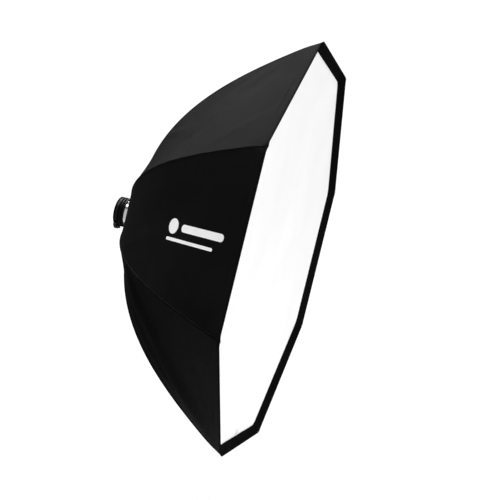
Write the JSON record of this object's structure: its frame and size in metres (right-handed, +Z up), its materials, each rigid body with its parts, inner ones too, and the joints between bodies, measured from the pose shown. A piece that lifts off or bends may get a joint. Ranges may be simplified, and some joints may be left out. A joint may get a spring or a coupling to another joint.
{
  "type": "studio softbox",
  "caption": "Deep octagonal softbox: black fabric shell on curved spring rods, white front diffuser and inner baffle, turning ring and ribbed clamp collar.",
  "frame": {"origin": "on the collar's bore axis, at the collar's rear face", "axes": "+Y out of the collar's mouth, towards the flash head, so the lip faces -Y; +Z up"},
  "size_m": [1.5, 0.7024, 1.5],
  "materials": {
    "rubber": "satin",
    "steel": "black oxide, satin",
    "polished_metal": "polished",
    "cast_metal": "textured black",
    "nylon": "matte",
    "tip_plastic": "matte",
    "rod_fibre": "smooth glass fibre",
    "socket_red": "satin",
    "socket_plain": "satin",
    "shell_fabric": "tight black weave, silver lining inside",
    "lip_fabric": "black weave",
    "webbing": "woven tape",
    "hook_tape": "looped pile",
    "white_tape": "woven tape",
    "diffusion_fabric": "translucent white nylon",
    "print_ink": "printed ink"
  },
  "bodies": {
    "adapter": {"grip_collar": "rubber", "clamp_band": "steel", "latch_base": "steel", "latch_hook": "steel", "latch_pin": "steel", "adapter_ring": "polished_metal", "glide_ring": "nylon", "retaining_ring": "cast_metal", "retaining_screws": "steel"},
    "softbox": {"speedring": "cast_metal", "rod_tips": "tip_plastic", "corner_pockets": "webbing", "ledge_flap": "webbing", "loop_tape": "hook_tape", "rear_cuff": "shell_fabric", "side_print": "print_ink", "inner_baffle": "diffusion_fabric", "baffle_border": "white_tape", "baffle_straps": "white_tape", "baffle_clips": "tip_plastic", "shell_panel_1": "shell_fabric", "lip_band_1": "lip_fabric", "rod_1": "rod_fibre", "rod_socket_1": "socket_red", "shell_panel_2": "shell_fabric", "lip_band_2": "lip_fabric", "rod_2": "rod_fibre", "rod_socket_2": "socket_plain", "shell_panel_3": "shell_fabric", "lip_band_3": "lip_fabric", "rod_3": "rod_fibre", "rod_socket_3": "socket_plain", "shell_panel_4": "shell_fabric", "lip_band_4": "lip_fabric", "rod_4": "rod_fibre", "rod_socket_4": "socket_red", "shell_panel_5": "shell_fabric", "lip_band_5": "lip_fabric", "rod_5": "rod_fibre", "rod_socket_5": "socket_red", "shell_panel_6": "shell_fabric", "lip_band_6": "lip_fabric", "rod_6": "rod_fibre", "rod_socket_6": "socket_plain", "shell_panel_7": "shell_fabric", "lip_band_7": "lip_fabric", "rod_7": "rod_fibre", "rod_socket_7": "socket_plain", "shell_panel_8": "shell_fabric", "lip_band_8": "lip_fabric", "rod_8": "rod_fibre", "rod_socket_8": "socket_red"},
    "front_diffuser": {"front_diffuser": "diffusion_fabric", "diffuser_border": "white_tape", "pull_tab": "white_tape"},
    "latch_lever": {"latch_lever": "steel"},
    "latch_bail": {"latch_bail": "steel"}
  },
  "joints": [
    {"name": "ring_rotation", "type": "hinge", "parent": "adapter", "child": "softbox", "pos_m": [0, -0.089, 0], "axis": [0, 1, 0], "continuous": true},
    {"name": "diffuser_release", "type": "slide", "parent": "softbox", "child": "front_diffuser", "axis": [0, -1, 0], "range_m": [0, 0.15]},
    {"name": "latch_lever", "type": "hinge", "parent": "adapter", "child": "latch_lever", "pos_m": [-0.007, -0.01, -0.0645], "axis": [0, -1, 0], "range_deg": [0, 120]},
    {"name": "latch_bail", "type": "hinge", "parent": "latch_lever", "child": "latch_bail", "pos_m": [-0.016, -0.01, -0.0645], "axis": [0, -1, 0], "range_deg": [-120, 0]}
  ],
  "couplings": [
    {"joint": "latch_bail", "follows": "latch_lever", "ratio": -1}
  ]
}
